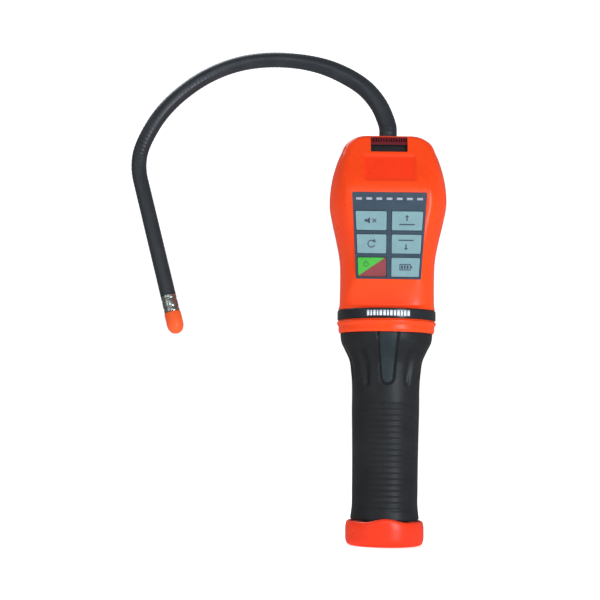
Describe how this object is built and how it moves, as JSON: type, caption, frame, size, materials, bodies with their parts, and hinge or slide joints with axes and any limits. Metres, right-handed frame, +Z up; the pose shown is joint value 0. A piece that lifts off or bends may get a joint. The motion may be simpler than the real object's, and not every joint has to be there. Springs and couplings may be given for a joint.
{
  "type": "portable gas detector",
  "caption": "Hand-held refrigerant leak detector: battery handle with rubber grip, keypad head and a bendable probe with a capped sensing tip.",
  "frame": {"origin": "centre of the battery cap's flat underside, on which the instrument stands", "axes": "+Z up the handle to the head and probe; the keypad faces -Y; +X is to the right of the keypad"},
  "size_m": [0.1799, 0.0586, 0.2825],
  "materials": {
    "orange_housing": "satin-gloss moulded ABS",
    "orange_guard": "soft moulded plastic",
    "black_rubber": "matte moulded rubber",
    "black_plastic": "matte",
    "alloy_tube": "dull anodised tube",
    "black_label": "satin band with plain pale ticks",
    "navy_overlay": "printed film",
    "pale_key": "printed film",
    "power_key": "printed film, green and red halves",
    "led_lens": "frosted lens",
    "neck_sleeve": "satin black sleeve",
    "bright_metal": "nickel plated",
    "circuit_board": "solder mask",
    "component": "moulded",
    "lead_insulation": "smooth",
    "cell_jacket": "plain dark jacket"
  },
  "bodies": {
    "housing": {"front_cover": "orange_housing", "rear_cover": "orange_housing", "cover_screws": "bright_metal", "keypad_overlay": "navy_overlay", "key_domes": "bright_metal", "keypad_board": "circuit_board", "level_leds": "led_lens", "ribbon_cable": "circuit_board", "main_board": "circuit_board", "board_chips": "circuit_board", "board_capacitors": "component", "step_up_transformer": "component", "beeper": "black_plastic", "sound_vent": "black_plastic", "neck_gland": "black_plastic", "gland_nut": "black_plastic", "neck_root": "neck_sleeve", "collar_ring": "orange_housing", "label_band": "black_label", "handle_tube": "alloy_tube", "grip_sleeve": "black_rubber", "battery_cell_1": "cell_jacket", "battery_cell_2": "cell_jacket", "top_contact": "bright_metal", "battery_leads": "lead_insulation", "cap_hinge_pin": "bright_metal"},
    "cap": {"battery_cap": "orange_housing", "cap_seal": "black_rubber", "cap_contact": "bright_metal", "cap_spring": "bright_metal"},
    "key_mute": {"key_mute": "pale_key"},
    "key_reset": {"key_reset": "pale_key"},
    "key_power": {"key_power": "power_key"},
    "key_sensitivity_up": {"key_sensitivity_up": "pale_key"},
    "key_sensitivity_down": {"key_sensitivity_down": "pale_key"},
    "key_battery_test": {"key_battery_test": "pale_key"},
    "neck_0": {"neck_link_0": "neck_sleeve"},
    "neck_1": {"neck_link_1": "neck_sleeve"},
    "neck_2": {"neck_link_2": "neck_sleeve"},
    "neck_3": {"neck_link_3": "neck_sleeve"},
    "neck_4": {"neck_link_4": "neck_sleeve"},
    "neck_5": {"neck_link_5": "neck_sleeve"},
    "neck_6": {"neck_link_6": "neck_sleeve"},
    "neck_7": {"neck_link_7": "neck_sleeve"},
    "neck_8": {"neck_link_8": "neck_sleeve"},
    "neck_9": {"neck_link_9": "neck_sleeve", "tip_collar": "bright_metal", "sensor_socket": "black_plastic", "sensor_element": "bright_metal"},
    "guard": {"sensor_guard": "orange_guard"}
  },
  "joints": [
    {"name": "battery_cap_hinge", "type": "hinge", "parent": "housing", "child": "cap", "pos_m": [0, 0.0236, 0.0128], "axis": [1, 0, 0], "range_deg": [0, 105]},
    {"name": "key_mute_press", "type": "slide", "parent": "housing", "child": "key_mute", "axis": [0, 0.9954, 0.0958], "range_m": [0, 0.00045], "stiffness_N_per_m": 2500, "springref_m": -0.0004},
    {"name": "key_reset_press", "type": "slide", "parent": "housing", "child": "key_reset", "axis": [0, 0.9954, 0.0958], "range_m": [0, 0.00045], "stiffness_N_per_m": 2500, "springref_m": -0.0004},
    {"name": "key_power_press", "type": "slide", "parent": "housing", "child": "key_power", "axis": [0, 0.9954, 0.0958], "range_m": [0, 0.00045], "stiffness_N_per_m": 2500, "springref_m": -0.0004},
    {"name": "key_sensitivity_up_press", "type": "slide", "parent": "housing", "child": "key_sensitivity_up", "axis": [0, 0.9954, 0.0958], "range_m": [0, 0.00045], "stiffness_N_per_m": 2500, "springref_m": -0.0004},
    {"name": "key_sensitivity_down_press", "type": "slide", "parent": "housing", "child": "key_sensitivity_down", "axis": [0, 0.9954, 0.0958], "range_m": [0, 0.00045], "stiffness_N_per_m": 2500, "springref_m": -0.0004},
    {"name": "key_battery_test_press", "type": "slide", "parent": "housing", "child": "key_battery_test", "axis": [0, 0.9954, 0.0958], "range_m": [0, 0.00045], "stiffness_N_per_m": 2500, "springref_m": -0.0004},
    {"name": "neck_lean", "type": "hinge", "parent": "housing", "child": "neck_0", "pos_m": [0, 0.002, 0.2325], "axis": [1, 0, 0], "range_deg": [-15, 15]},
    {"name": "neck_curl_1", "type": "hinge", "parent": "neck_0", "child": "neck_1", "pos_m": [0, 0.00355, 0.23826], "axis": [0, -0.9848, 0.1736], "range_deg": [-21.7, 4]},
    {"name": "neck_curl_2", "type": "hinge", "parent": "neck_1", "child": "neck_2", "pos_m": [-0.00584, 0.00609, 0.25272], "axis": [0, -0.9848, 0.1736], "range_deg": [-21.7, 4]},
    {"name": "neck_curl_3", "type": "hinge", "parent": "neck_2", "child": "neck_3", "pos_m": [-0.0178, 0.00829, 0.26517], "axis": [0, -0.9848, 0.1736], "range_deg": [-21.7, 4]},
    {"name": "neck_curl_4", "type": "hinge", "parent": "neck_3", "child": "neck_4", "pos_m": [-0.04229, 0.01026, 0.27637], "axis": [0, -0.9848, 0.1736], "range_deg": [-21.7, 4]},
    {"name": "neck_curl_5", "type": "hinge", "parent": "neck_4", "child": "neck_5", "pos_m": [-0.07613, 0.01059, 0.27823], "axis": [0, -0.9848, 0.1736], "range_deg": [-21.7, 4]},
    {"name": "neck_curl_6", "type": "hinge", "parent": "neck_5", "child": "neck_6", "pos_m": [-0.10411, 0.00897, 0.26901], "axis": [0, -0.9848, 0.1736], "range_deg": [-21.7, 4]},
    {"name": "neck_curl_7", "type": "hinge", "parent": "neck_6", "child": "neck_7", "pos_m": [-0.12832, 0.00541, 0.24886], "axis": [0, -0.9848, 0.1736], "range_deg": [-21.7, 4]},
    {"name": "neck_curl_8", "type": "hinge", "parent": "neck_7", "child": "neck_8", "pos_m": [-0.14109, 0.00126, 0.22532], "axis": [0, -0.9848, 0.1736], "range_deg": [-21.7, 4]},
    {"name": "neck_curl_9", "type": "hinge", "parent": "neck_8", "child": "neck_9", "pos_m": [-0.14275, -0.00131, 0.21074], "axis": [0, -0.9848, 0.1736], "range_deg": [-21.7, 4]},
    {"name": "sensor_guard_pull", "type": "slide", "parent": "neck_9", "child": "guard", "axis": [0.2639, -0.1675, -0.9499], "range_m": [0, 0.016]}
  ],
  "couplings": [
    {"joint": "neck_curl_2", "follows": "neck_curl_1", "ratio": 1},
    {"joint": "neck_curl_3", "follows": "neck_curl_1", "ratio": 1},
    {"joint": "neck_curl_4", "follows": "neck_curl_1", "ratio": 1},
    {"joint": "neck_curl_5", "follows": "neck_curl_1", "ratio": 1},
    {"joint": "neck_curl_6", "follows": "neck_curl_1", "ratio": 1},
    {"joint": "neck_curl_7", "follows": "neck_curl_1", "ratio": 1},
    {"joint": "neck_curl_8", "follows": "neck_curl_1", "ratio": 1},
    {"joint": "neck_curl_9", "follows": "neck_curl_1", "ratio": 1}
  ]
}
